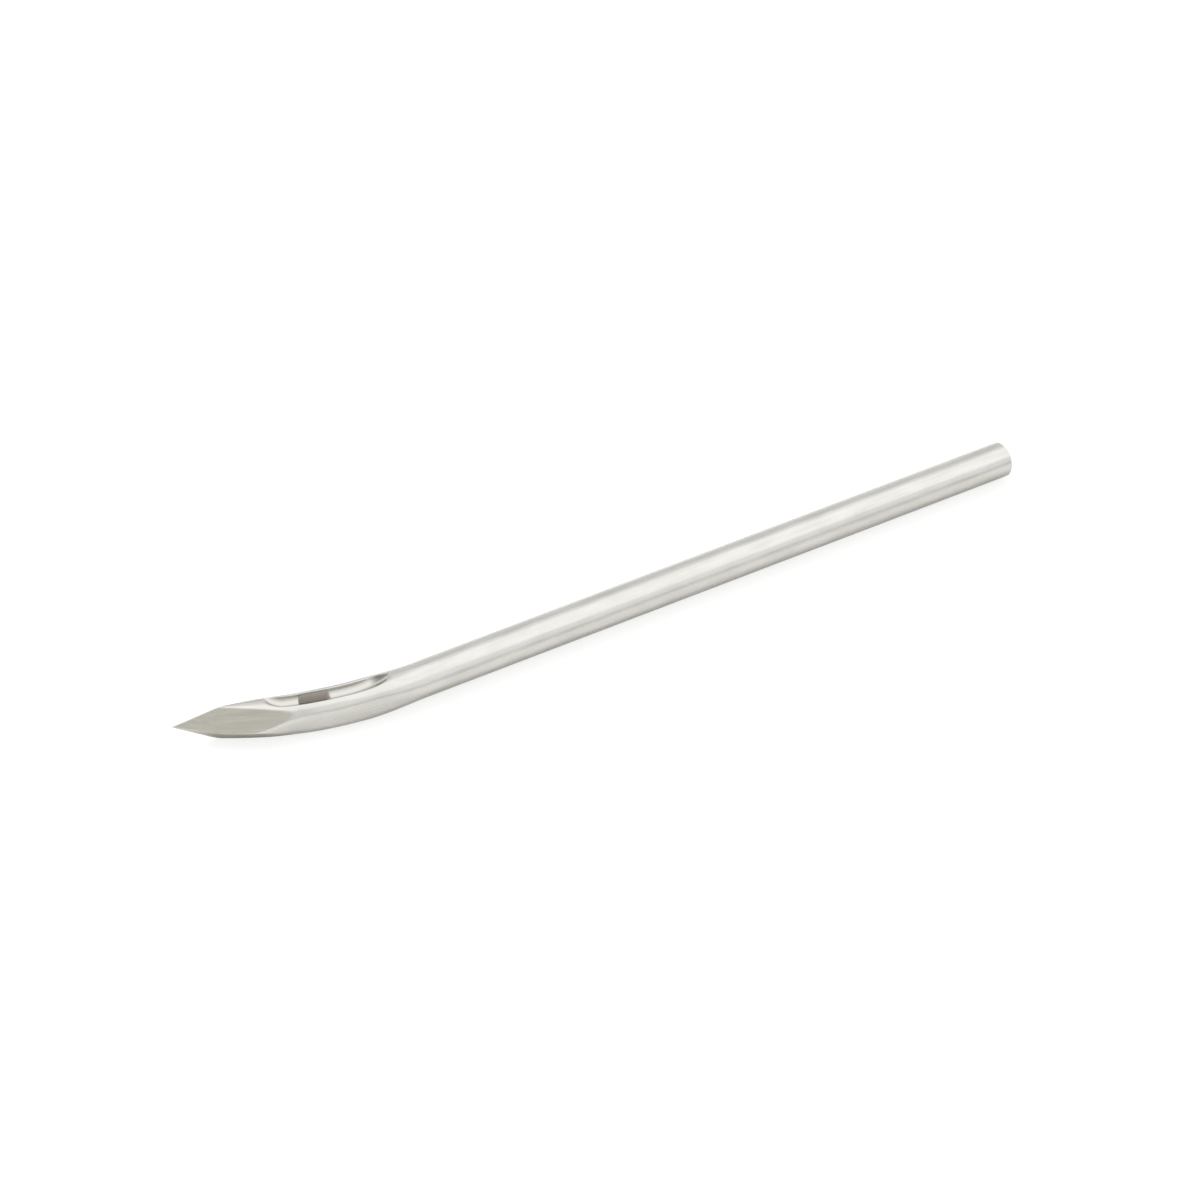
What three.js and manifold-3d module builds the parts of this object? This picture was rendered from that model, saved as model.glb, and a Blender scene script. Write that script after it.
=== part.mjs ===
// Needle for a lock-stitch sewing awl: one length of hardened steel wire. From the point back it has a
// round head with four facets ground to a diamond point, a squared neck with a thread groove above and
// below, an eye cut through between the two grooves, a slight bend, and a plain round shank that the
// awl's chuck grips.
//
// Sizes are in millimetres and angles in degrees. The origin is the centre of the shank's butt face.
// +X leaves the butt, +Z leaves the upper groove, and the point, far out at -X, leans towards +Y.
// Stations are distances along the centreline from where the four facets would meet in a perfect point.

import * as THREE from 'three';
import { mergeVertices } from 'three/addons/utils/BufferGeometryUtils.js';
import Module from 'manifold-3d';

// Shank and bend
const shankDiameter = 2.5;
const shankLength = 49.7; // straight, from the butt to the bend
const buttChamfer = 0.15;
const bendAngle = 19;
const bendRadius = 31; // of the centreline
const tipStraight = 6.4; // from the point to the bend

// Head: round, a little fatter than the shank
const headDiameter = 2.84;
const headLength = 5.5; // from the point to where it starts to turn square
const headSquaring = 3.1; // length over which its sides and top flatten into the neck's
const headSharpening = 5; // and over which its corners tighten to the neck's

// Neck: a rounded rectangle that runs out into the round shank
const neckWidth = 2.31;
const neckHeight = 2.64;
const neckCorner = 0.86;
const neckReach = 13.2; // from the point to where it starts to turn round
const neckRunOut = 4.4; // length over which it turns into the shank

// Diamond point: four facets whose distance from the axis follows a power curve
const pointAngle = 37; // of each facet's face above or below sideways
const pointInradius = 1.39; // axis to each facet, where the curve levels off
const pointReach = 11.5; // from the point to where the curve levels off
const pointFullness = 2.6; // 1 is a straight-sided point, more is fuller
const pointBlunt = 0.15; // honed off the perfect point

// Eye
const eyeSetback = 8.7; // from the point to the front of the eye
const eyeLength = 2.15;
const eyeWidth = 0.92;
const eyeCorner = 0.25;

// Thread grooves, cut by a round-nosed tool
const grooveWidth = 0.96;
const grooveDepth = 0.5; // below the faces of the neck
const grooveAhead = 2.5; // from the front of the eye towards the point
const grooveBehind = 4.6; // from the back of the eye towards the shank
const grooveLead = 1.5; // length over which the tool sinks in at the front
const grooveTail = 3.3; // and rises again at the back
const grooveDrift = 0.32; // how far the tool leaves the middle, towards +Y, as it enters and leaves

// Fineness of the mesh
const sectionSides = 48;
const neckSteps = 36;
const facetSteps = 24;
const clearSteps = 8;
const grooveSides = 20;
const grooveSteps = 16;
const grooveEndSteps = 7;
const grooveTailSteps = 13;

// Worked out from the sizes above
const shankRadius = shankDiameter / 2;
const headRadius = headDiameter / 2;
const bendTurn = THREE.MathUtils.degToRad(bendAngle);
const bendEnd = tipStraight + bendRadius * bendTurn;
const butt = bendEnd + shankLength;
const grooveStart = eyeSetback - grooveAhead;
const grooveEnd = eyeSetback + eyeLength + grooveBehind;
const neckEnd = neckReach + neckRunOut;
const facetTurn = THREE.MathUtils.degToRad(pointAngle);
const clearReach = 2 * pointReach; // where the facets, going on past the head, stand well clear of the wire

const wasm = await Module();
wasm.setup();

// The place and the direction of the centreline at a station.
function centreline(station) {
  const turn = THREE.MathUtils.clamp((bendEnd - station) / bendRadius, 0, bendTurn);
  const beyondBend = Math.max(tipStraight - station, 0);
  const beforeButt = butt - Math.max(station, bendEnd);
  return {
    x: -beforeButt - bendRadius * Math.sin(turn) - beyondBend * Math.cos(turn),
    y: bendRadius * (1 - Math.cos(turn)) + beyondBend * Math.sin(turn),
    turn,
  };
}

// A point beside and above the centreline at a station.
function place(station, side, up) {
  const { x, y, turn } = centreline(station);
  return new THREE.Vector3(x + side * Math.sin(turn), y + side * Math.cos(turn), up);
}

// Evenly spaced values from first to last.
function spaced(first, last, steps) {
  return Array.from({ length: steps + 1 }, (_, i) => THREE.MathUtils.lerp(first, last, i / steps));
}

// A closed skin over rings of points that run from the point's side to the butt's side.
function loft(rings) {
  const sides = rings[0].length;
  const points = rings.flat();
  const faces = [];
  for (let r = 0; r + 1 < rings.length; r++) {
    for (let i = 0; i < sides; i++) {
      const a = r * sides + i;
      const b = r * sides + ((i + 1) % sides);
      faces.push(a, b, a + sides, a + sides, b, b + sides);
    }
  }
  const lastRing = (rings.length - 1) * sides;
  const middles = [rings[0], rings[rings.length - 1]].map((ring) =>
    ring.reduce((sum, p) => sum.add(p), new THREE.Vector3()).divideScalar(sides));
  for (let i = 0; i < sides; i++) {
    const next = (i + 1) % sides;
    faces.push(points.length, next, i);
    faces.push(points.length + 1, lastRing + i, lastRing + next);
  }
  const geometry = new THREE.BufferGeometry().setFromPoints([...points, ...middles]);
  geometry.setIndex(faces);
  return geometry;
}

// Turns a closed geometry into a solid that can be joined and cut.
function solidFrom(geometry) {
  const bare = geometry.clone();
  bare.deleteAttribute('normal');
  bare.deleteAttribute('uv');
  const merged = mergeVertices(bare, 1e-5);
  return new wasm.Manifold(new wasm.Mesh({
    numProp: 3,
    vertProperties: new Float32Array(merged.attributes.position.array),
    triVerts: new Uint32Array(merged.index.array),
  }));
}

function geometryFrom(solid) {
  const mesh = solid.getMesh();
  const geometry = new THREE.BufferGeometry();
  geometry.setAttribute('position', new THREE.BufferAttribute(mesh.vertProperties, 3));
  geometry.setIndex(new THREE.BufferAttribute(mesh.triVerts, 1));
  geometry.computeVertexNormals();
  return geometry;
}

// The wire's section at a station: circle in the head, rounded rectangle in the neck, circle in the shank.
function section(station) {
  const { lerp, smoothstep } = THREE.MathUtils;
  const squared = smoothstep(station, headLength, headLength + headSquaring);
  const sharpened = smoothstep(station, headLength, headLength + headSharpening);
  const rounded = smoothstep(station, neckReach, neckEnd);
  const halfWidth = lerp(headRadius, neckWidth / 2, squared);
  const halfHeight = lerp(headRadius, neckHeight / 2, squared);
  const corner = lerp(Math.min(halfWidth, halfHeight), neckCorner, sharpened);
  return {
    halfWidth: lerp(halfWidth, shankRadius, rounded),
    halfHeight: lerp(halfHeight, shankRadius, rounded),
    corner: lerp(corner, shankRadius, rounded),
  };
}

// The section as a ring of points, spaced by the direction in which the skin faces.
function wireRing(station, radiusLoss = 0) {
  const { halfWidth, halfHeight, corner } = section(station);
  return Array.from({ length: sectionSides }, (_, i) => {
    const angle = (2 * Math.PI * (i + 0.5)) / sectionSides;
    const side = Math.cos(angle);
    const up = Math.sin(angle);
    return place(
      station,
      Math.sign(side) * (halfWidth - corner) + (corner - radiusLoss) * side,
      Math.sign(up) * (halfHeight - corner) + (corner - radiusLoss) * up,
    );
  });
}

// The whole wire before grinding, from the point to the chamfered butt.
function wire() {
  const stations = [...spaced(0, neckEnd, neckSteps), butt - buttChamfer];
  return loft([...stations.map((station) => wireRing(station)), wireRing(butt, buttChamfer)]);
}

// Distance from the axis to a facet: steep at the point, level at its reach, and opening out beyond it.
function facetHeight(station) {
  const left = 1 - Math.min(station, clearReach) / pointReach;
  return pointInradius * (1 - Math.sign(left) * Math.abs(left) ** pointFullness);
}

// What the grinding leaves: a four-sided bar along the centreline, with ridges above, below and at the
// sides. It narrows to the point and clears the wire behind the facets.
function groundBar() {
  const stations = [
    ...spaced(pointBlunt, pointReach, facetSteps),
    ...spaced(pointReach, clearReach, clearSteps).slice(1),
    butt + shankDiameter,
  ];
  return loft(stations.map((station) => {
    const side = facetHeight(station) / Math.cos(facetTurn);
    const up = facetHeight(station) / Math.sin(facetTurn);
    const ridges = [[side, 0], [0, up], [-side, 0], [0, -up]];
    return ridges.map(([across, above]) => place(station, across, above));
  }));
}

// Where the groove tool's lowest point is at a station: clear of the head at the front end, sunk into the
// neck, and level with the neck's face at the back end, a little to one side at both ends.
function toolPath(station) {
  const lead = THREE.MathUtils.clamp((grooveStart + grooveLead - station) / grooveLead, 0, 1) ** 2;
  const tail = THREE.MathUtils.clamp((station - grooveEnd + grooveTail) / grooveTail, 0, 1) ** 2;
  const floor = neckHeight / 2 - grooveDepth;
  return {
    side: grooveDrift * (lead + tail),
    up: floor + lead * (headRadius - floor) + tail * grooveDepth,
  };
}

// The groove tool's path as a solid: a rod that follows the bend, facing up (1) or down (-1).
function grooveWaste(facing) {
  const radius = grooveWidth / 2;
  const stations = [
    ...spaced(grooveStart, grooveStart + grooveLead, grooveEndSteps),
    ...spaced(grooveStart + grooveLead, grooveEnd - grooveTail, grooveSteps).slice(1, -1),
    ...spaced(grooveEnd - grooveTail, grooveEnd, grooveTailSteps),
  ];
  const rings = stations.map((station) => {
    const { side, up } = toolPath(station);
    return Array.from({ length: grooveSides }, (_, i) => {
      const angle = (2 * Math.PI * (i + 0.5)) / grooveSides;
      const across = side + radius * Math.cos(angle);
      const above = facing * (up + radius) + radius * Math.sin(angle);
      return place(station, across, above);
    });
  });
  return loft(rings);
}

// The slot cut through the neck for the eye, from one groove to the other.
function eyeWaste() {
  const halfLength = eyeLength / 2;
  const halfWidth = eyeWidth / 2;
  const outline = new THREE.Shape();
  outline.moveTo(-halfLength + eyeCorner, -halfWidth);
  outline.lineTo(halfLength - eyeCorner, -halfWidth);
  outline.absarc(halfLength - eyeCorner, -halfWidth + eyeCorner, eyeCorner, -Math.PI / 2, 0);
  outline.absarc(halfLength - eyeCorner, halfWidth - eyeCorner, eyeCorner, 0, Math.PI / 2);
  outline.absarc(-halfLength + eyeCorner, halfWidth - eyeCorner, eyeCorner, Math.PI / 2, Math.PI);
  outline.absarc(-halfLength + eyeCorner, -halfWidth + eyeCorner, eyeCorner, Math.PI, 1.5 * Math.PI);
  const depth = 2 * neckHeight;
  const slot = new THREE.ExtrudeGeometry(outline, { depth, bevelEnabled: false, curveSegments: 4 });
  const middle = centreline(eyeSetback + halfLength);
  return slot.translate(0, 0, -depth / 2).rotateZ(-middle.turn).translate(middle.x, middle.y, 0);
}

function needle() {
  const pointed = solidFrom(wire()).intersect(solidFrom(groundBar()));
  const wastes = [grooveWaste(1), grooveWaste(-1), eyeWaste()];
  const body = wastes.reduce((left, waste) => left.subtract(solidFrom(waste)), pointed);
  const polishedSteel = new THREE.MeshStandardMaterial({ color: 0xc9c8c4, roughness: 0.25, metalness: 1 });
  const mesh = new THREE.Mesh(geometryFrom(body), polishedSteel);
  mesh.name = 'needle';
  return mesh;
}

const part = new THREE.Group();
part.add(needle());

export default part;
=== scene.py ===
import math

import bpy
import numpy as np
from mathutils import Matrix, Vector


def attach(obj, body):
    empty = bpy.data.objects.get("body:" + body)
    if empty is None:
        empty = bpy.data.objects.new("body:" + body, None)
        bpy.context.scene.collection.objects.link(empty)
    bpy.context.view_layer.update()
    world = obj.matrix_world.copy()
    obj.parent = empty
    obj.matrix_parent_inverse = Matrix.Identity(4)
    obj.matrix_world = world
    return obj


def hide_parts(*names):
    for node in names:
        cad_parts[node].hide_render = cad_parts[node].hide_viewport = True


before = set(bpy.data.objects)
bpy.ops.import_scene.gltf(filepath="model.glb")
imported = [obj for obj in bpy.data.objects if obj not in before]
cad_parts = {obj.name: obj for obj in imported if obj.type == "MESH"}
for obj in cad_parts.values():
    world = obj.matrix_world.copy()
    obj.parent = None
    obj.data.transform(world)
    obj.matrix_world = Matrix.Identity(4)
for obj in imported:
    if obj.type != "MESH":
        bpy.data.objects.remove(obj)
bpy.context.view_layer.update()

print("frame loaded")

# The needle's sizes in millimetres and degrees. Stations are distances along the centreline from where
# the facets would meet in a perfect point.
needle = {
    "shankDiameter": 2.5,
    "shankLength": 49.7,  # straight, from the butt to the bend
    "buttChamfer": 0.15,
    "bendAngle": 19,
    "bendRadius": 31,  # of the centreline
    "tipStraight": 6.4,  # from the point to the bend
    "headDiameter": 2.84,
    "headLength": 5.5,  # from the point to where it starts to turn square
    "headSquaring": 3.1,  # length over which its sides and top flatten into the neck's
    "headSharpening": 5,  # and over which its corners tighten to the neck's
    "neckWidth": 2.31,
    "neckHeight": 2.64,
    "neckCorner": 0.86,
    "neckReach": 13.2,  # from the point to where it starts to turn round
    "neckRunOut": 4.4,  # length over which it turns into the shank
    "pointAngle": 37,  # of each facet's face above or below sideways
    "pointInradius": 1.385,  # centreline to each facet, where its curve levels off
    "pointReach": 10.9,  # from the point to where the curve levels off
    "pointFullness": 2.1,  # power of the curve
    "pointRise": 0.33,  # what the curve, drawn on to the point, would reach there
    "bevelSlope": 0.278,  # of the straight bevel at the tip
    "bevelStart": 0.12,  # where the bevel would meet the centreline
    "bevelBlend": 0.06,  # rounding between the bevel and the curve
    "pointBlunt": 0.15,  # honed off the perfect point
    "eyeSetback": 8.7,  # from the point to the front of the eye
    "eyeLength": 2.15,
    "eyeWidth": 0.92,
    "eyeCorner": 0.25,
    "grooveWidth": 0.96,
    "grooveDepth": 0.5,  # below the faces of the neck
    "grooveAhead": 2.5,  # from the front of the eye towards the point
    "grooveBehind": 4.6,  # from the back of the eye towards the shank
    "grooveLead": 1.5,  # length over which the tool sinks in at the front
    "grooveTail": 3.3,  # and rises again at the back
    "grooveDrift": 0.32,  # how far the tool leaves the middle as it enters and leaves
    "tipRounding": 0.05,
    "ridgeRounding": 0.014,
    "facetRounding": 0.08,
    "grooveRounding": 0.07,
    "eyeRounding": 0.08,
    "buttRounding": 0.03,
}

# How finely the skin is meshed: lengths in millimetres, angles in degrees, and counts.
meshing = {
    "coarseStep": 0.13,
    "squaringStep": 0.08,
    "ridgeStep": 0.035,
    "endStep": 0.03,
    "eyeStep": 0.022,
    "stepGrowth": 0.14,  # for each millimetre away from a place with a fine step
    "squaringMark": 2.5,  # where the head turns square fastest, behind its length
    "tailMark": 0.1,  # the groove's fine place, ahead of its end
    "acrossStep": 0.12,
    "creaseStep": 0.03,  # the first step on either side of a crease
    "creaseMargin": 0.08,  # and the first two together
    "middlingStep": 0.04,
    "shortest": 0.03,  # a stretch below this isn't cut, below short it is cut in two,
    "short": 0.14,
    "middling": 0.3,  # and below this in four
    "shallow": 0.02,  # a groove that opens less than this is left out
    "cornerShare": 0.32,  # share of the section that the neck's corner takes
    "cornerRange": (7.0, 9.2),  # stations between which the facet's stretch turns into the corner's
    "wallShare": 0.84,  # the groove's wall ends no lower than this share of its height
    "wallSteps": 3,
    "bottomSteps": 9,
    "seamLead": 1.6,  # length ahead of the head's squaring over which the seam leaves the middle
    "lineTurn": 110,  # how far round the section is traced from one side, past its top
    "linePoints": 1761,
    "stationSamples": 2001,
    "ridgeSamples": 20001,
    "bowAcross": 1.0,  # how far the eye's corners bow the rows: across the skin,
    "bowOutside": 0.8,  # along it outside the eye,
    "bowInside": 0.9,  # and beside the eye
    "rimSteps": (0.03, 0.075, 0.14),  # depths below the rim of the eye
    "tunnelSteps": 7,
    "tipAngles": (60, 35, 15),
    "shankSides": 24,
    "shankRings": 26,
    "chamferMargin": 0.05,
    "buttRings": (0.85, 0.55, 0.25),
    "cornerPoints": 5,
    "settleSteps": 14,
    "settleProbe": 1e-4,
    "leastSlope": 0.05,
    "longestMove": 0.1,
    "weldDigits": 5,
}

nearly = 1e-6
tiny = 1e-9
millimetre = 0.001

shankRadius = needle["shankDiameter"] / 2
headRadius = needle["headDiameter"] / 2
bendTurn = math.radians(needle["bendAngle"])
bendEnd = needle["tipStraight"] + needle["bendRadius"] * bendTurn
buttStation = bendEnd + needle["shankLength"]
eyeFront = needle["eyeSetback"]
eyeBack = eyeFront + needle["eyeLength"]
eyeHalf = needle["eyeWidth"] / 2
grooveStart = eyeFront - needle["grooveAhead"]
grooveEnd = eyeBack + needle["grooveBehind"]
grooveRadius = needle["grooveWidth"] / 2
neckEnd = needle["neckReach"] + needle["neckRunOut"]
facetTurn = math.radians(needle["pointAngle"])


def smoothStep(x, low, high):
    t = np.clip((x - low) / (high - low), 0, 1)
    return t * t * (3 - 2 * t)


def mix(a, b, t):
    return a + (b - a) * t


# The larger of two distances, with the crease between them rounded over the given reach.
def softMax(a, b, reach):
    t = np.clip(0.5 + 0.5 * (a - b) / reach, 0, 1)
    return a * t + b * (1 - t) + reach * t * (1 - t)


# Half the width, half the height and the corner's radius of the wire before grinding.
def sectionAt(s):
    squared = smoothStep(s, needle["headLength"], needle["headLength"] + needle["headSquaring"])
    sharpened = smoothStep(s, needle["headLength"], needle["headLength"] + needle["headSharpening"])
    rounded = smoothStep(s, needle["neckReach"], neckEnd)
    width = mix(headRadius, needle["neckWidth"] / 2, squared)
    height = mix(headRadius, needle["neckHeight"] / 2, squared)
    corner = mix(np.minimum(width, height), needle["neckCorner"], sharpened)
    return tuple(mix(size, shankRadius, rounded) for size in (width, height, corner))


# Distance from the centreline to a facet: a straight bevel at the tip, then a curve that levels off.
def facetHeight(s):
    left = 1 - np.minimum(s / needle["pointReach"], 2)
    drop = needle["pointInradius"] - needle["pointRise"]
    curve = needle["pointInradius"] - drop * np.sign(left) * np.abs(left) ** needle["pointFullness"]
    bevel = needle["bevelSlope"] * (s - needle["bevelStart"])
    return -softMax(-curve, -bevel, needle["bevelBlend"])


# The lowest point of the tool that cuts the upper groove: its place to the side, and its height.
def toolPath(s):
    lead = np.clip((grooveStart + needle["grooveLead"] - s) / needle["grooveLead"], 0, 1) ** 2
    tail = np.clip((s - grooveEnd + needle["grooveTail"]) / needle["grooveTail"], 0, 1) ** 2
    beyond = np.maximum(grooveStart - s, 0) + np.maximum(s - grooveEnd, 0)
    bottom = needle["neckHeight"] / 2 - needle["grooveDepth"]
    height = bottom + lead * (headRadius - bottom) + tail * needle["grooveDepth"] + beyond
    return needle["grooveDrift"] * (lead + tail), height


# Distance to a rounded rectangle, from how far a point lies beyond the middle of its nearest corner.
def roundedDistance(across, up, corner):
    outside = np.hypot(np.maximum(across, 0), np.maximum(up, 0))
    return outside + np.minimum(np.maximum(across, up), 0) - corner


def wireDistance(s, y, z):
    width, height, corner = sectionAt(s)
    return roundedDistance(np.abs(y) - (width - corner), np.abs(z) - (height - corner), corner)


def barDistance(s, y, z):
    e = needle["ridgeRounding"]
    side, up = np.sqrt(y * y + e * e), np.sqrt(z * z + e * e)
    return side * math.cos(facetTurn) + up * math.sin(facetTurn) - facetHeight(s)


def grooveDistance(s, y, z):
    side, height = toolPath(s)
    return np.hypot(y - side, np.abs(z) - height - grooveRadius) - grooveRadius


def eyeDistance(s, y):
    r = needle["eyeCorner"]
    along = np.abs(s - (eyeFront + eyeBack) / 2) - (eyeBack - eyeFront) / 2 + r
    return roundedDistance(along, np.abs(y) - eyeHalf + r, r)


# Distance to the needle's skin, with every crease rounded a little; negative inside the steel.
def skinDistance(p):
    s, y, z = p[:, 0], p[:, 1], p[:, 2]
    d = softMax(wireDistance(s, y, z), barDistance(s, y, z), needle["facetRounding"])
    d = softMax(d, -grooveDistance(s, y, z), needle["grooveRounding"])
    return softMax(d, -eyeDistance(s, y), needle["eyeRounding"])


# Moves points onto the skin along its slope. The moves are weighted along s, y and z.
def settle(p, weights):
    p = p.copy()
    probe = meshing["settleProbe"]
    for _ in range(meshing["settleSteps"]):
        slope = np.empty_like(p)
        for axis in range(3):
            low, high = p.copy(), p.copy()
            low[:, axis] -= probe
            high[:, axis] += probe
            slope[:, axis] = (skinDistance(high) - skinDistance(low)) / (2 * probe)
        slope *= weights
        size = np.maximum((slope ** 2).sum(1), meshing["leastSlope"])
        move = skinDistance(p)[:, None] * slope / size[:, None]
        far = np.linalg.norm(move, axis=1)
        p -= move * np.minimum(1, meshing["longestMove"] / np.maximum(far, tiny))[:, None]
    return p


# The two upper quarters meet at a seam: it follows the middle of the groove, and runs back to the
# middle of the needle outside it.
def seamSide(s):
    lead = smoothStep(s, needle["headLength"] - meshing["seamLead"], grooveStart)
    tail = smoothStep(s, grooveEnd, neckEnd)
    return float(toolPath(s)[0] * lead * (1 - tail))


# The section without its groove, from one side up to the seam, as a fine line of points. The seam is
# given as its distance from the middle towards that side. Also tells which points lie on a facet.
def quarterLine(s, seam):
    angle = np.radians(np.linspace(0, meshing["lineTurn"], meshing["linePoints"]))
    u, w = np.abs(np.cos(angle)), np.sin(angle)
    width, height, corner = sectionAt(s)
    cy, cz = width - corner, height - corner
    middle = u * cy + w * cz
    wire = middle + np.sqrt(np.maximum(middle ** 2 - (cy ** 2 + cz ** 2 - corner ** 2), 0))
    side = width / np.maximum(u, tiny)
    top = height / np.maximum(w, tiny)
    wire = np.where(side * w <= cz, side, wire)
    wire = np.where(top * u <= cy, top, wire)
    bar = facetHeight(s) / (u * math.cos(facetTurn) + w * math.sin(facetTurn))
    reach = np.minimum(wire, bar)
    line = np.column_stack([reach * np.cos(angle), reach * w])
    last = int(np.argmax(line[:, 0] <= seam))
    share = (line[last - 1, 0] - seam) / (line[last - 1, 0] - line[last, 0])
    line[last] = mix(line[last - 1], line[last], share)
    return line[:last + 1], (bar < wire)[:last + 1]


def lineLength(line):
    return np.concatenate([[0], np.cumsum(np.linalg.norm(np.diff(line, axis=0), axis=1))])


# Places along a stretch of the section: close together at its two ends, where the creases are.
def stretchPlaces(length):
    if length < meshing["shortest"]:
        return np.array([0, length])
    if length < meshing["short"]:
        return np.linspace(0, length, 3)
    if length < meshing["middling"]:
        step = meshing["middlingStep"]
        return np.array([0, step, length / 2, length - step, length])
    margin, step = meshing["creaseMargin"], meshing["creaseStep"]
    count = max(2, 2 * int(round((length - 2 * margin) / meshing["acrossStep"] / 2)))
    inner = np.linspace(margin, length - margin, count + 1)
    return np.concatenate([[0, step], inner, [length - step, length]])


def pointsAlong(line, places):
    at = lineLength(line)
    return np.column_stack([np.interp(places, at, line[:, 0]), np.interp(places, at, line[:, 1])])


# Cuts the quarter section into its stretches: side land, facet, upper land, groove wall, groove bottom.
# In the neck its rounded corner takes the facet's place.
def quarterRow(s, side):
    seam = side * seamSide(s)
    line, ground = quarterLine(s, seam)
    at = lineLength(line)
    total = at[-1]
    if ground.any():
        low, high = at[np.argmax(ground)], at[len(ground) - 1 - np.argmax(ground[::-1])]
    else:
        low = high = total * 0.5
    middle = (low + high) / 2
    spread = meshing["cornerShare"] * float(smoothStep(s, *meshing["cornerRange"])) * total / 2
    low, high = min(low, middle - spread), max(high, middle + spread)
    tool = float(toolPath(s)[1]) + grooveRadius
    cut = np.hypot(line[:, 0] - seam, line[:, 1] - tool) < grooveRadius
    edge = total
    if cut[-1] and s > grooveStart and s < grooveEnd:
        edge = at[min(len(cut) - np.argmax(~cut[::-1]), len(at) - 1)]
    low = 0.0 if low < meshing["shortest"] else low
    high = edge if edge - high < meshing["shortest"] else high
    stretches = []
    for start, end in ((0, low), (low, high), (high, edge)):
        places = np.array([start]) if end - start < tiny else start + stretchPlaces(end - start)
        stretches.append(pointsAlong(line, places))
    lip = stretches[-1][-1].copy()
    if edge >= total - meshing["shallow"]:
        return stretches + [lip[None, :], lip[None, :]]
    opening = math.asin(min((lip[0] - seam) / grooveRadius, 1))
    if lip[1] > tool:
        opening = math.pi - opening
    wall = min(math.asin(min(eyeHalf / grooveRadius, 1)), opening * meshing["wallShare"])
    for start, end, count in ((opening, wall, meshing["wallSteps"]), (wall, 0, meshing["bottomSteps"])):
        turn = start + (end - start) * np.linspace(0, 1, count + 1)
        across, up = seam + grooveRadius * np.sin(turn), tool - grooveRadius * np.cos(turn)
        stretches.append(np.column_stack([across, up]))
    stretches[3][0] = lip
    return stretches


# Stations between the anchors, spaced closely near the marks, where the skin changes quickly.
def spacedStations(anchors, marks):
    def stepAt(s):
        fineSteps = [fine + meshing["stepGrowth"] * abs(s - at) for at, fine in marks]
        return min([meshing["coarseStep"]] + fineSteps)

    stations = [anchors[0]]
    for low, high in zip(anchors, anchors[1:]):
        sample = np.linspace(low, high, meshing["stationSamples"])
        density = np.array([1 / stepAt(x) for x in sample])
        total = np.concatenate([[0], np.cumsum((density[1:] + density[:-1]) / 2 * np.diff(sample))])
        count = max(1, int(round(total[-1])))
        stations += list(np.interp(np.linspace(0, total[-1], count + 1)[1:], total, sample))
    return stations


# Where a ridge between two facets reaches the round of the head.
def ridgeEnd(share):
    s = np.linspace(0, needle["pointReach"], meshing["ridgeSamples"])
    return float(np.interp(headRadius, facetHeight(s) / share, s))


# Rows near the ends of the eye bow out to follow its rounded corners.
def bowedStation(s, y, fromWall):
    r = needle["eyeCorner"]
    inside = np.clip(np.abs(y) - (eyeHalf - r), 0, r)
    onSkin = r * (1 - smoothStep(fromWall, 0, meshing["bowAcross"]))
    bow = np.where(fromWall > -tiny, onSkin, r - np.sqrt(r * r - inside ** 2))
    outside, beside = meshing["bowOutside"], meshing["bowInside"]
    ahead = smoothStep(s, eyeFront - outside, eyeFront)
    behind = smoothStep(s, eyeFront, eyeFront + beside)
    front = np.where(s <= eyeFront, ahead, 1 - behind)
    ahead = smoothStep(s, eyeBack - beside, eyeBack)
    behind = smoothStep(s, eyeBack, eyeBack + outside)
    back = np.where(s >= eyeBack, 1 - behind, ahead)
    return s + bow * front - bow * back


class QuarterMesh:
    def __init__(self):
        self.points = []
        self.faces = []

    def add(self, points):
        first = len(self.points)
        self.points += [tuple(p) for p in points]
        return list(range(first, first + len(points)))

    # Joins two rows of points. Where they differ in number, their places along the row are given.
    def stitch(self, rowA, rowB, atA=None, atB=None):
        if len(rowA) == len(rowB):
            for i in range(len(rowA) - 1):
                self.faces.append((rowA[i], rowA[i + 1], rowB[i + 1], rowB[i]))
            return
        i = j = 0
        while i < len(rowA) - 1 or j < len(rowB) - 1:
            nextA = atA[i + 1] if i < len(rowA) - 1 else math.inf
            nextB = atB[j + 1] if j < len(rowB) - 1 else math.inf
            if nextA <= nextB:
                self.faces.append((rowA[i], rowA[i + 1], rowB[j]))
                i += 1
            else:
                self.faces.append((rowA[i], rowB[j + 1], rowB[j]))
                j += 1


def fractions(points):
    at = lineLength(np.asarray(points))
    return at / at[-1] if at[-1] > 0 else at


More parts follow.
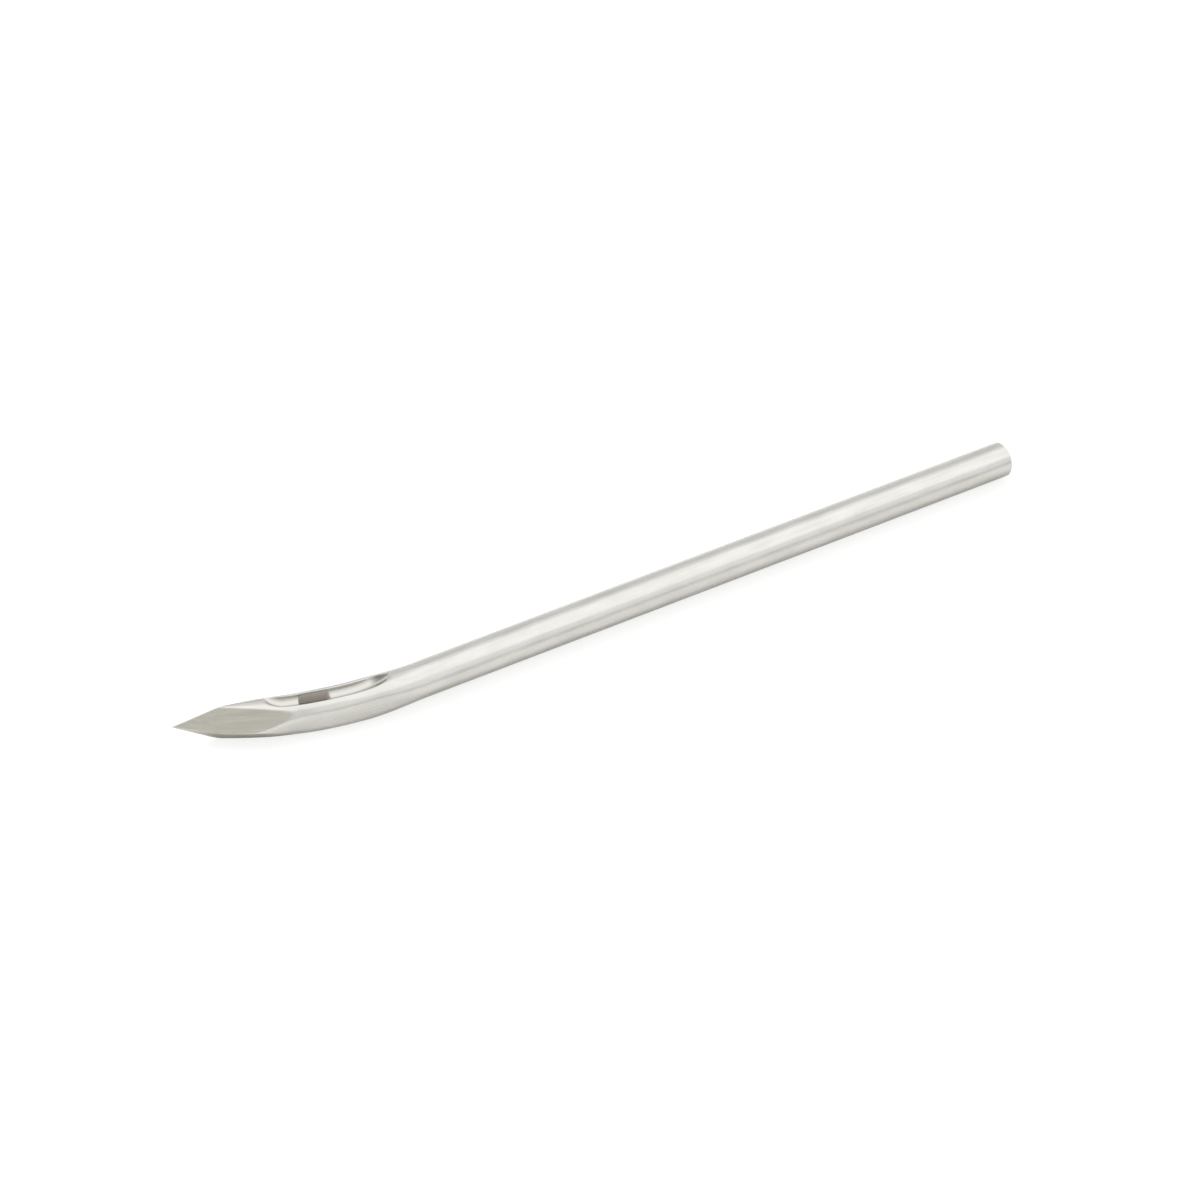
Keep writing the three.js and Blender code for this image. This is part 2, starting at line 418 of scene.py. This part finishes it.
# One upper quarter of the needle. The part that isn't plain shank is made of rows across the skin, from
# the blunt tip to where the neck has run out. Beside the eye a row stops at the eye's rim.
def buildQuarter(side):
    mesh = QuarterMesh()
    tip = needle["pointBlunt"] + needle["tipRounding"]
    topLand, sideLand = ridgeEnd(math.sin(facetTurn)), ridgeEnd(math.cos(facetTurn))
    marks = [
        (tip, meshing["endStep"]),
        (topLand, meshing["ridgeStep"]),
        (sideLand, meshing["ridgeStep"]),
        (grooveStart, meshing["endStep"]),
        (needle["headLength"] + meshing["squaringMark"], meshing["squaringStep"]),
        (eyeFront, meshing["eyeStep"]),
        (eyeBack, meshing["eyeStep"]),
        (grooveEnd - meshing["tailMark"], meshing["endStep"]),
    ]
    anchors = [tip, topLand, sideLand, grooveStart, eyeFront, eyeBack, grooveEnd, neckEnd]
    rows = []
    for s in spacedStations(anchors, marks):
        stretches = quarterRow(s, side)
        whole = np.concatenate([stretches[0]] + [x[1:] for x in stretches[1:]])
        at = lineLength(whole)
        ends = np.cumsum([len(x) - 1 for x in stretches])
        where = bowedStation(np.full(len(whole), s), whole[:, 0], at[ends[3]] - at)
        points = np.column_stack([where, side * whole[:, 0], whole[:, 1]])
        besideEye = eyeFront + nearly < s < eyeBack - nearly
        if besideEye:
            points = points[: ends[3] + 1]
        free = np.tile([0.0, 1.0, 1.0], (len(points), 1))
        free[0] = (0, 1, 0)
        if not besideEye:
            points[-1, 1] = seamSide(s)
            free[-1] = (0, 0, 1)
        index = mesh.add(settle(points, free))
        starts = [0] + list(ends[:-1])
        parts = [index[start: end + 1] for start, end in zip(starts, ends)]
        parts = parts[: 4 if besideEye else 5]
        rows.append((s, [(part, fractions([mesh.points[i] for i in part])) for part in parts]))
    for (sA, a), (sB, b) in zip(rows, rows[1:]):
        overEye = sA >= eyeFront - nearly and sB <= eyeBack + nearly
        for (rowA, atA), (rowB, atB) in list(zip(a, b))[: 4 if overEye else 5]:
            mesh.stitch(rowA, rowB, atA, atB)
    addTunnel(mesh, rows)
    addTip(mesh, wholeRow(rows[0]))
    addShank(mesh, wholeRow(rows[-1]), side)
    return mesh


# Every point of a row, once.
def wholeRow(row):
    return list(dict.fromkeys(i for part, _ in row[1] for i in part))


# The wall of the eye, from its rim down to the needle's middle plane. The rim settles in every
# direction, and the rest at its own depth.
def addTunnel(mesh, rows):
    inside = [parts for s, parts in rows if eyeFront - nearly <= s <= eyeBack + nearly]
    rim = list(reversed(inside[0][4][0]))
    rim += [parts[3][0][-1] for parts in inside[1:-1]]
    rim += inside[-1][4][0]
    top = np.array([mesh.points[i] for i in rim])
    settled = settle(top, np.array([1.0, 1.0, 1.0]))
    settled[0, 1] = settled[-1, 1] = 0
    for i, p in zip(rim, settled):
        mesh.points[i] = tuple(p)
    depths = [settled[:, 2] - step for step in meshing["rimSteps"]]
    steps = meshing["tunnelSteps"]
    depths += [depths[-1] * (1 - k / steps) for k in range(1, steps + 1)]
    above = rim
    for depth in depths:
        layer = settle(np.column_stack([top[:, 0], top[:, 1], depth]), np.array([1.0, 1.0, 0.0]))
        layer[0, 1] = layer[-1, 1] = 0
        index = mesh.add(layer)
        mesh.stitch(index, above)
        above = index


# The rounded end of the blunt tip.
def addTip(mesh, above):
    base = np.array([mesh.points[i] for i in above])
    for degrees in meshing["tipAngles"]:
        angle = math.radians(degrees)
        layer = base.copy()
        layer[:, 0] = needle["pointBlunt"] + needle["tipRounding"] * (1 - math.cos(angle))
        layer[:, 1:] *= math.sin(angle)
        index = mesh.add(layer)
        mesh.stitch(index, above)
        above = index
    apex = mesh.add([(needle["pointBlunt"], 0, 0)])[0]
    for i in range(len(above) - 1):
        mesh.faces.append((apex, above[i + 1], above[i]))


# The round shank, its chamfer and its butt, from profile points of station and radius.
def addShank(mesh, above, side):
    placesAbove = [math.atan2(mesh.points[i][2], side * mesh.points[i][1]) for i in above]
    angles = np.linspace(0, math.pi / 2, meshing["shankSides"] + 1)
    rimRadius = shankRadius - needle["buttChamfer"]
    chamferStart = buttStation - needle["buttChamfer"]
    shankEnd = chamferStart - meshing["chamferMargin"]
    corners = [(shankEnd, shankRadius), (chamferStart, shankRadius)]
    corners += [(buttStation, rimRadius), (buttStation, 0)]
    profile = [(s, shankRadius) for s in np.linspace(neckEnd, shankEnd, meshing["shankRings"])[1:]]
    profile += roundedCorner(*corners[:3], needle["buttRounding"])
    profile += roundedCorner(*corners[1:], needle["buttRounding"])
    profile += [(buttStation, radius) for radius in meshing["buttRings"]]
    for s, radius in profile:
        across = side * radius * np.cos(angles)
        layer = np.column_stack([np.full(len(angles), s), across, radius * np.sin(angles)])
        layer[0, 2] = layer[-1, 1] = 0
        index = mesh.add(layer)
        mesh.stitch(above, index, placesAbove, list(angles))
        above = index
    centre = mesh.add([(buttStation, 0, 0)])[0]
    for i in range(len(above) - 1):
        mesh.faces.append((above[i], above[i + 1], centre))


# A corner between two straight stretches of a profile, rounded to a radius.
def roundedCorner(before, corner, after, radius):
    corner = np.array(corner)
    into = corner - np.array(before)
    out = np.array(after) - corner
    into, out = into / np.linalg.norm(into), out / np.linalg.norm(out)
    turn = math.acos(float(np.clip(into @ out, -1, 1)))
    back = radius * math.tan(turn / 2)
    side = out - into * (into @ out)
    side /= np.linalg.norm(side)
    middle = corner - into * back + side * radius
    points = []
    for t in np.linspace(0, 1, meshing["cornerPoints"]):
        angle = t * turn
        points.append(tuple(middle - side * radius * math.cos(angle) + into * radius * math.sin(angle)))
    return points


# Bends the straightened needle: from station, side and height to x, y and z.
def bent(p):
    s, radius = p[:, 0], needle["bendRadius"]
    turn = np.clip((bendEnd - s) / radius, 0, bendTurn)
    beyond = np.maximum(needle["tipStraight"] - s, 0)
    before = buttStation - np.maximum(s, bendEnd)
    x = -before - radius * np.sin(turn) - beyond * np.cos(turn) + p[:, 1] * np.sin(turn)
    y = radius * (1 - np.cos(turn)) + beyond * np.sin(turn) + p[:, 1] * np.cos(turn)
    return np.column_stack([x, y, p[:, 2]])


# Builds the two upper quarters, mirrors them downwards and welds the four together.
def wholeNeedle():
    allPoints, allFaces = [], []
    offset = 0
    for side in (1, -1):
        quarter = buildQuarter(side)
        for flip in (1, -1):
            allPoints.append(np.array(quarter.points) * np.array([1, 1, flip]))
            for face in quarter.faces:
                face = tuple(i + offset for i in face)
                allFaces.append(face[::-1] if side * flip < 0 else face)
            offset += len(quarter.points)
    allPoints = np.concatenate(allPoints)
    keys = np.round(allPoints, meshing["weldDigits"]) + 0.0
    _, firstAt, inverse = np.unique(keys, axis=0, return_index=True, return_inverse=True)
    inverse = inverse.reshape(-1)
    faces = []
    for face in allFaces:
        kept = tuple(dict.fromkeys(int(inverse[i]) for i in face))
        if len(kept) > 2:
            faces.append(kept)
    return allPoints[firstAt], faces


# Where the finish changes and where shade is painted: reaches in millimetres from a crease, a ridge or
# an end.
finish = {
    "blend": 0.012,
    "edgeReach": 0.035,
    "ridgeReach": (0.01, 0.04),
    "chamferBlend": 0.08,
    "rimBlend": 0.03,
    "buttBlend": 0.02,
    "paintedShadeAlong": (1.75, 0.85, 0.3, 0.05),  # painted shade ahead of the groove's end: starts, full, fades, ends
    "paintedShadeAcross": (-0.02, 0.09),
    "paintedShadeDeep": (0.1, 0.47),  # painted shade in the eye, above and below the middle
    "fan": 0.5,  # how much the lines close up towards the point
}


# Where each kind of surface is, from 0 to 1 at every point of the straightened needle.
def surfaceMasks(p):
    s, y, z = p[:, 0], p[:, 1], p[:, 2]
    wire, bar = wireDistance(s, y, z), barDistance(s, y, z)
    parts = np.stack([wire, bar, -grooveDistance(s, y, z), -eyeDistance(s, y)])
    order = np.sort(parts, axis=0)

    def share(k):
        others = np.delete(parts, k, axis=0).max(axis=0)
        return smoothStep(parts[k] - others, -finish["blend"], finish["blend"])

    ground, groove, eye = share(1), share(2), share(3)
    crease = 1 - smoothStep(order[-1] - order[-2], 0, finish["edgeReach"])
    ridge = ground * (1 - smoothStep(np.minimum(np.abs(y), np.abs(z)), *finish["ridgeReach"]))
    rim = buttStation - needle["buttChamfer"]
    chamfer = smoothStep(s, rim - finish["chamferBlend"], rim)
    chamfer = chamfer * (1 - smoothStep(s, buttStation - finish["rimBlend"], buttStation))
    # Painted shade: dark on the far side of the groove's steep end and deep in the eye, where little
    # light reaches.
    starts, full, fades, ends = (grooveEnd - ahead for ahead in finish["paintedShadeAlong"])
    tail = smoothStep(s, starts, full) * (1 - smoothStep(s, fades, ends))
    tail = tail * groove * smoothStep(y - toolPath(s)[0], *finish["paintedShadeAcross"])
    deep = eye * (1 - smoothStep(np.abs(z), *finish["paintedShadeDeep"]))
    return {
        "ground": ground,
        "groove": groove,
        "eye": eye,
        "edge": np.maximum(np.maximum(crease, ridge), chamfer),
        "butt": smoothStep(s, buttStation - finish["buttBlend"], buttStation),
        "paintedShade": np.maximum(tail, deep),
    }


# Where the drawn and ground lines lie: along the needle, and closing up a little towards the point.
def linePlaces(p):
    full = np.minimum(facetHeight(p[:, 0]) / needle["pointInradius"], 1)
    spread = 1 / mix(1, full, finish["fan"])
    return np.column_stack([p[:, 0], p[:, 1] * spread, p[:, 2] * spread])


def buildNeedle():
    straight, faces = wholeNeedle()
    mesh = bpy.data.meshes.new("awl_needle")
    mesh.from_pydata([tuple(p) for p in bent(straight) / 1000], [], faces)
    mesh.validate()
    mesh.shade_smooth()
    for name, values in surfaceMasks(straight).items():
        attribute = mesh.attributes.new(name, "FLOAT", "POINT")
        attribute.data.foreach_set("value", values.astype(np.float32))
    attribute = mesh.attributes.new("linePlace", "FLOAT_VECTOR", "POINT")
    attribute.data.foreach_set("vector", linePlaces(straight).astype(np.float32).ravel())
    needlePiece = bpy.data.objects.new("awl_needle", mesh)
    bpy.context.scene.collection.objects.link(needlePiece)
    return needlePiece


piece = buildNeedle()
print("needle mesh:", len(piece.data.vertices), "points,", len(piece.data.polygons), "faces")


# Adds a node; a value that is a socket is linked, and any other is set.
def addNode(tree, kind, values=None, **settings):
    node = tree.nodes.new(kind)
    for name, value in settings.items():
        setattr(node, name, value)
    for socket, value in (values or {}).items():
        if isinstance(value, bpy.types.NodeSocket):
            tree.links.new(value, node.inputs[socket])
        else:
            node.inputs[socket].default_value = value
    return node


def mathNode(tree, operation, *values):
    return addNode(tree, "ShaderNodeMath", dict(enumerate(values)), operation=operation).outputs[0]


# Brings a value from one range into another, and keeps it there.
def ranged(tree, value, low, high, toLow=0.0, toHigh=1.0):
    sockets = {"Value": value, "From Min": low, "From Max": high, "To Min": toLow, "To Max": toHigh}
    return addNode(tree, "ShaderNodeMapRange", sockets).outputs["Result"]


def mixColors(tree, share, first, second):
    first, second = ((*color, 1) if isinstance(color, tuple) else color for color in (first, second))
    return addNode(tree, "ShaderNodeMix", {0: share, 6: first, 7: second}, data_type="RGBA").outputs[2]


def mixValues(tree, share, first, second):
    return addNode(tree, "ShaderNodeMix", {0: share, 2: first, 3: second}, data_type="FLOAT").outputs[0]


# Streaks in the metal: for each width its share of the line count, and its detail.
streaks = {
    "widths": {"Fine": (1.0, 2.0), "Broad": (0.3, 3.0)},
    "roughness": 0.6,
    "range": (0.3, 0.7),
}


# Shader group: long, fine lines in the metal, as streaks from 0 to 1 in two widths.
def lineGroup():
    tree = bpy.data.node_groups.new("metalLines", "ShaderNodeTree")
    tree.interface.new_socket("Place", in_out="INPUT", socket_type="NodeSocketVector")
    for name in ("Across", "Along"):
        tree.interface.new_socket(name, in_out="INPUT", socket_type="NodeSocketFloat")
    for name in streaks["widths"]:
        tree.interface.new_socket(name, in_out="OUTPUT", socket_type="NodeSocketFloat")
    given = tree.nodes.new("NodeGroupInput").outputs
    result = tree.nodes.new("NodeGroupOutput").inputs
    for name, (share, detail) in streaks["widths"].items():
        across = mathNode(tree, "MULTIPLY", given["Across"], share)
        along = mathNode(tree, "MULTIPLY", given["Along"], share)
        scale = addNode(tree, "ShaderNodeCombineXYZ", {"X": along, "Y": across, "Z": across}).outputs[0]
        values = {0: given["Place"], 1: scale}
        place = addNode(tree, "ShaderNodeVectorMath", values, operation="MULTIPLY").outputs[0]
        values = {"Vector": place, "Scale": 1.0, "Detail": detail, "Roughness": streaks["roughness"]}
        noise = addNode(tree, "ShaderNodeTexNoise", values)
        tree.links.new(ranged(tree, noise.outputs["Fac"], *streaks["range"]), result[name])
    return tree


# The steel's colours and roughness on each kind of surface, and its painted shade.
steel = {
    "polished": (0.572, 0.563, 0.54),
    "polishedDark": (0.492, 0.481, 0.452),
    "ground": (0.5, 0.484, 0.426),
    "groundDark": (0.372, 0.358, 0.306),
    "grooveWall": (0.505, 0.492, 0.456),
    "eyeWall": (0.7, 0.66, 0.6),
    # painted shade: near-black, rough and barely metal, at the groove's end and deep in the eye
    "paintedShade": (0.085, 0.078, 0.068),
    "edge": (0.545, 0.537, 0.512),
    "polishedRoughness": (0.2, 0.3),
    "groundRoughness": (0.34, 0.5),
    "grooveRoughness": 0.27,
    "eyeRoughness": 0.55,
    "edgeRoughness": 0.2,
    "paintedShadeMetal": 0.2,
    "paintedShadeLeast": 0.75,  # how strong the painted shade is at its weakest
    "eyeDullness": 0.9,
    "drawnLines": (16.0, 0.35),  # counts for a millimetre, across and along the needle
    "groundLines": (13.0, 0.5),
    "drawnDepth": 0.00022,  # millimetres
    "groundDepth": 0.0008,
    "clouds": {"Scale": 1.1, "Detail": 3.0},
    "cloudStretch": 0.35,
    "cloudRange": (0.35, 0.65),
    "drawnInClouds": 0.45,  # share of the broad drawn lines in the polished colour
    "drawnInRoughness": 0.5,  # share of the fine ones in its roughness
    "fineInGround": 0.4,  # share of the fine lines among the ground ones
    "wear": (0.1, 0.6, 0.55, 1.0),  # edges are least and most worn between these streaks, and how much
}


def buildSteel():
    material = bpy.data.materials.new("steel")
    material.use_nodes = True
    tree = material.node_tree
    shader = tree.nodes["Principled BSDF"]

    def attribute(name, output="Fac"):
        return addNode(tree, "ShaderNodeAttribute", attribute_name=name).outputs[output]

    ground, groove, eye = attribute("ground"), attribute("groove"), attribute("eye")
    edge, butt, paintedShade = attribute("edge"), attribute("butt"), attribute("paintedShade")
    place = attribute("linePlace", "Vector")
    lines = lineGroup()

    def linesOf(across, along):
        group = addNode(tree, "ShaderNodeGroup", {}, node_tree=lines)
        tree.links.new(place, group.inputs["Place"])
        group.inputs["Across"].default_value, group.inputs["Along"].default_value = across, along
        return group.outputs["Fine"], group.outputs["Broad"]

    drawnFine, drawnBroad = linesOf(*steel["drawnLines"])
    groundFine, groundBroad = linesOf(*steel["groundLines"])
    stretch = {0: place, 1: (steel["cloudStretch"], 1, 1)}
    stretched = addNode(tree, "ShaderNodeVectorMath", stretch, operation="MULTIPLY").outputs[0]
    clouds = addNode(tree, "ShaderNodeTexNoise", {"Vector": stretched, **steel["clouds"]})
    cloud = ranged(tree, clouds.outputs["Fac"], *steel["cloudRange"])

    drawn = mixValues(tree, steel["drawnInClouds"], cloud, drawnBroad)
    scratched = mixValues(tree, steel["fineInGround"], groundBroad, groundFine)
    color = mixColors(tree, drawn, steel["polishedDark"], steel["polished"])
    color = mixColors(tree, groove, color, steel["grooveWall"])
    groundColor = mixColors(tree, scratched, steel["groundDark"], steel["ground"])
    color = mixColors(tree, ground, color, groundColor)
    color = mixColors(tree, eye, color, steel["eyeWall"])
    worn = mathNode(tree, "MULTIPLY", edge, ranged(tree, drawnBroad, *steel["wear"]))
    color = mixColors(tree, worn, color, steel["edge"])
    # Painted shade at the groove's end and deep in the eye: the colour darkens, the steel roughens and
    # loses its metal.
    paintedShadeShare = mathNode(tree, "MULTIPLY", paintedShade, ranged(tree, cloud, 0.0, 1.0, steel["paintedShadeLeast"], 1.0))
    color = mixColors(tree, paintedShadeShare, color, steel["paintedShade"])
    tree.links.new(color, shader.inputs["Base Color"])

    low, high = steel["polishedRoughness"]
    uneven = mixValues(tree, steel["drawnInRoughness"], cloud, drawnFine)
    rough = ranged(tree, uneven, 0.0, 1.0, low, high)
    rough = mixValues(tree, groove, rough, steel["grooveRoughness"])
    low, high = steel["groundRoughness"]
    unscratched = mathNode(tree, "SUBTRACT", 1.0, scratched)
    rough = mixValues(tree, ground, rough, ranged(tree, unscratched, 0.0, 1.0, low, high))
    rough = mixValues(tree, eye, rough, steel["eyeRoughness"])
    rough = mixValues(tree, worn, rough, steel["edgeRoughness"])
    rough = mixValues(tree, butt, rough, low)
    rough = mixValues(tree, paintedShadeShare, rough, steel["eyeRoughness"])
    tree.links.new(rough, shader.inputs["Roughness"])

    # The eye's own dull finish and the painted shade both take the metal away.
    dullEyeAndPaintedShade = mathNode(tree, "MAXIMUM", paintedShadeShare, mathNode(tree, "MULTIPLY", eye, steel["eyeDullness"]))
    tree.links.new(mixValues(tree, dullEyeAndPaintedShade, 1.0, steel["paintedShadeMetal"]), shader.inputs["Metallic"])

    drawnHeight = mathNode(tree, "MULTIPLY", drawnFine, steel["drawnDepth"])
    groundHeight = mathNode(tree, "MULTIPLY", scratched, steel["groundDepth"])
    coarse = mathNode(tree, "MAXIMUM", ground, butt)
    height = mixValues(tree, coarse, drawnHeight, groundHeight)
    bump = addNode(tree, "ShaderNodeBump", {"Strength": 1.0, "Distance": millimetre, "Height": height})
    tree.links.new(bump.outputs["Normal"], shader.inputs["Normal"])
    return material


piece.data.materials.append(buildSteel())
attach(piece, "root")
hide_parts("needle")
print("steel made")


# The floor. Its own glow makes it white to the camera and, less strongly, in the steel, and the rest of
# it takes light and shadow.
floorValues = {
    "size": 3.0,
    "headRest": 5.0,  # the station at which the head rests on it, in millimetres
    "gap": 0.00002,  # left under the butt, in metres as the size is
    "color": (0.94, 0.926, 0.893),
    "roughness": 0.8,
    "glow": 1.15,
    "toCamera": 0.68,  # share of the glow in what the camera sees
    "toSteel": 0.094,  # and in what the steel mirrors
}


# A flat square under the needle, which meets the underside of its head and of its butt.
def buildFloor():
    headLow = Vector(bent(np.array([[floorValues["headRest"], 0, -headRadius]]))[0] / 1000)
    buttLow = Vector((0, 0, -shankRadius / 1000))
    up = (buttLow - headLow).cross(Vector((0, 1, 0))).normalized()
    mesh = bpy.data.meshes.new("floor")
    half = floorValues["size"] / 2
    corners = [(-half, -half, 0), (half, -half, 0), (half, half, 0), (-half, half, 0)]
    mesh.from_pydata(corners, [], [(0, 1, 2, 3)])
    floor = bpy.data.objects.new("floor", mesh)
    bpy.context.scene.collection.objects.link(floor)
    floor.rotation_mode = "QUATERNION"
    floor.rotation_quaternion = Vector((0, 0, 1)).rotation_difference(up)
    floor.location = buttLow - up * floorValues["gap"]
    material = bpy.data.materials.new("floor")
    material.use_nodes = True
    tree = material.node_tree
    shader = tree.nodes["Principled BSDF"]
    shader.inputs["Base Color"].default_value = (*floorValues["color"], 1)
    shader.inputs["Roughness"].default_value = floorValues["roughness"]
    shader.inputs["Specular IOR Level"].default_value = 0
    glow = addNode(tree, "ShaderNodeEmission", {"Strength": floorValues["glow"]})
    rays = addNode(tree, "ShaderNodeLightPath").outputs
    seen = mathNode(tree, "MULTIPLY", rays["Is Camera Ray"], floorValues["toCamera"])
    steelRays = mathNode(tree, "MAXIMUM", rays["Is Glossy Ray"], rays["Is Transmission Ray"])
    mirrored = mathNode(tree, "MULTIPLY", steelRays, floorValues["toSteel"])
    share = mathNode(tree, "MAXIMUM", seen, mirrored)
    blend = addNode(tree, "ShaderNodeMixShader", {0: share, 1: shader.outputs[0], 2: glow.outputs[0]})
    tree.links.new(blend.outputs[0], tree.nodes["Material Output"].inputs["Surface"])
    mesh.materials.append(material)
    return floor


buildFloor()
print("floor made")


# Soft light: a pale world, white where it is seen directly or in the steel, and large soft lamps. Each
# lamp has its lowest x and y, its highest x and y and its height, in metres, and its glow. Lamps at one
# height would hide each other in the steel. The two on the right are a bright middle in a weaker
# surround, and left_middle brightens the shank from other sides. The one behind on the left gives the
# needle its shadow, and is kept out of the steel.
light = {
    "world": 0.5,
    "color": (0.965, 0.985, 1.0),
    "lamps": {
        "right_surround": ((-0.06, -1.6), (1.1, 0.5), 0.52, 0.25),
        "right_middle": ((-0.3, -0.45), (1.1, 0.24), 0.48, 0.3),
        "left_middle": ((-1.1, -0.3), (-0.32, 0.24), 0.46, 0.4),
        "left_back": ((-1.1, 0.15), (-0.1, 1.15), 0.7, 3.75),
    },
    "unmirrored": "left_back",
}


def buildLight():
    world = bpy.data.worlds.new("studio")
    bpy.context.scene.world = world
    world.use_nodes = True
    tree = world.node_tree
    rays = addNode(tree, "ShaderNodeLightPath").outputs
    seen = mathNode(tree, "MAXIMUM", rays["Is Camera Ray"], rays["Is Glossy Ray"])
    seen = mathNode(tree, "MAXIMUM", seen, rays["Is Transmission Ray"])
    background = tree.nodes["Background"]
    background.inputs["Color"].default_value = (1, 1, 1, 1)
    tree.links.new(mixValues(tree, seen, light["world"], 1.0), background.inputs["Strength"])
    for name, ((left, near), (right, far), height, glow) in light["lamps"].items():
        lamp = bpy.data.lights.new(name, "AREA")
        lamp.shape = "RECTANGLE"
        lamp.size, lamp.size_y = right - left, far - near
        lamp.energy = glow * 4 * lamp.size * lamp.size_y
        lamp.color = light["color"]
        holder = bpy.data.objects.new(name, lamp)
        bpy.context.scene.collection.objects.link(holder)
        holder.location = ((left + right) / 2, (near + far) / 2, height)
        holder.visible_glossy = name != light["unmirrored"]
    bpy.context.scene.view_settings.view_transform = "Standard"


buildLight()
print("lights made")


# The camera, fitted to the photograph: its direction from the needle, its turn about its own line of
# sight in degrees, and distances in millimetres.
cameraValues = {
    "toCamera": (-0.46909, -0.56768, 0.67653),
    "roll": 20.734,
    "aim": (22.5 - needle["shankLength"], 0, 0),
    "distance": 374.7,
    "right": 5.887,
    "up": 1.426,
    "lens": 165,
    "sensor": 36,
    "clip": (0.01, 10),  # in metres
}


def buildCamera():
    forward = -Vector(cameraValues["toCamera"]).normalized()
    axis = Vector((1, 0, 0))
    level = (axis - forward * axis.dot(forward)).normalized()
    steep = level.cross(forward)
    roll = math.radians(cameraValues["roll"])
    right = level * math.cos(roll) - steep * math.sin(roll)
    up = level * math.sin(roll) + steep * math.cos(roll)
    place = Vector(cameraValues["aim"]) - forward * cameraValues["distance"]
    place -= right * cameraValues["right"] + up * cameraValues["up"]
    data = bpy.data.cameras.new("camera")
    data.lens = cameraValues["lens"]
    data.sensor_width = cameraValues["sensor"]
    data.clip_start, data.clip_end = cameraValues["clip"]
    camera = bpy.data.objects.new("camera", data)
    bpy.context.scene.collection.objects.link(camera)
    turn = Matrix((right, up, -forward)).transposed().to_4x4()
    camera.matrix_world = Matrix.Translation(place / 1000) @ turn
    bpy.context.scene.camera = camera


buildCamera()
